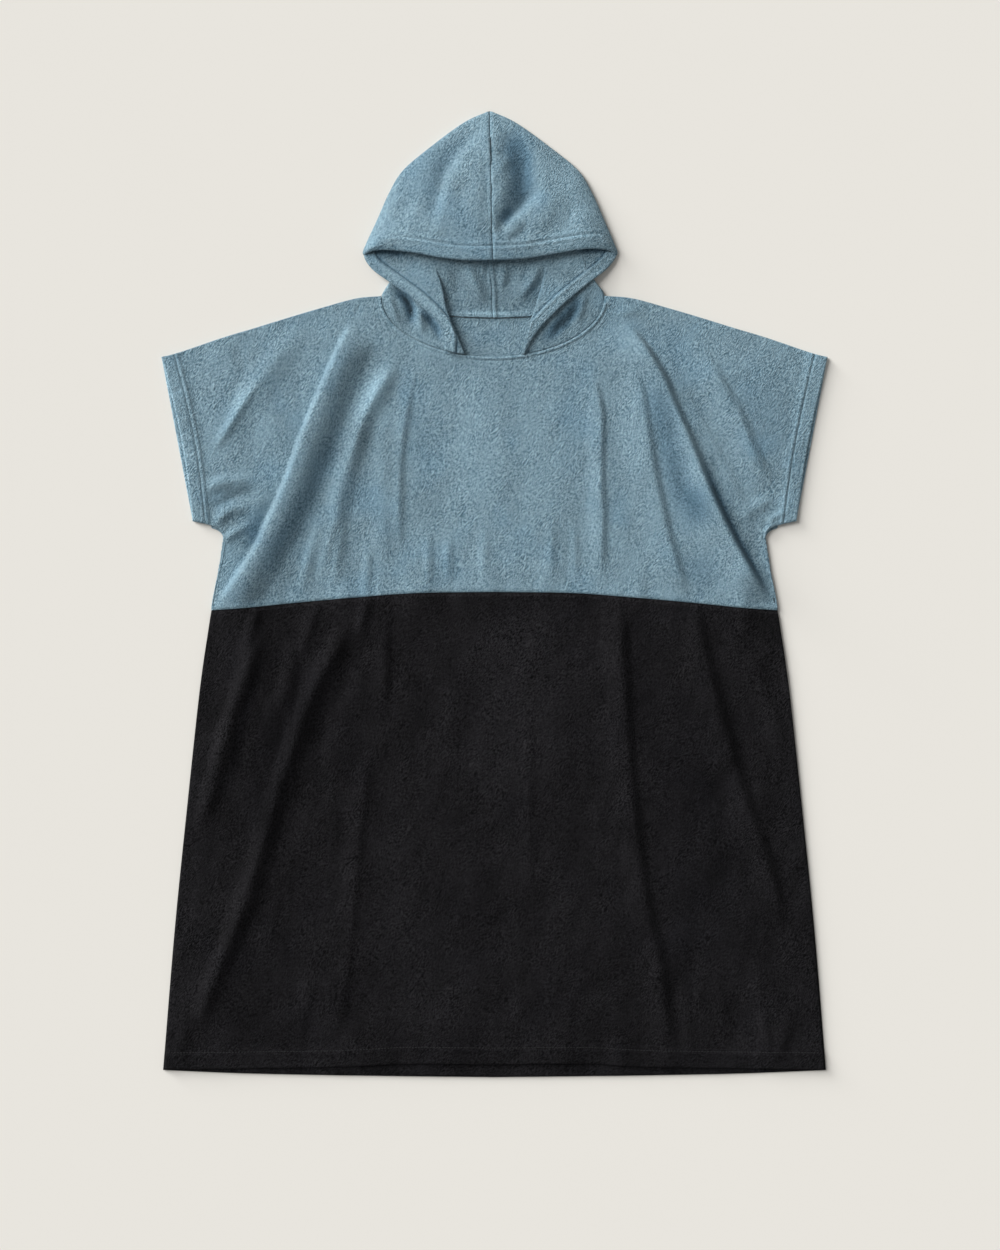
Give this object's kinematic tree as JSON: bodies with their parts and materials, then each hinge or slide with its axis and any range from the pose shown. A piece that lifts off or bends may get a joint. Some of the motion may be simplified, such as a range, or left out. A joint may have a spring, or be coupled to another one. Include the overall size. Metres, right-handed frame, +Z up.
{
  "type": "hooded bath poncho",
  "caption": "Hooded towelling bath poncho with cut-on short sleeves, a blue top and a black skirt, laid flat on its back with the hood opened above the neck.",
  "frame": {"origin": "on the ground under the middle of the whole garment, hood included", "axes": "+Y from the hem to the hood, +X across the sleeves, +Z up from the surface the garment lies on"},
  "size_m": [0.852, 1.236, 0.0297],
  "materials": {
    "blue_towelling": "plush dusty blue towelling with a brushed nap",
    "black_towelling": "plush black towelling with a brushed nap"
  },
  "bodies": {
    "root": {"upper_front": "blue_towelling", "upper_back": "blue_towelling", "hood_left": "blue_towelling", "hood_right": "blue_towelling", "lower_front": "black_towelling", "lower_back": "black_towelling"}
  },
  "joints": []
}
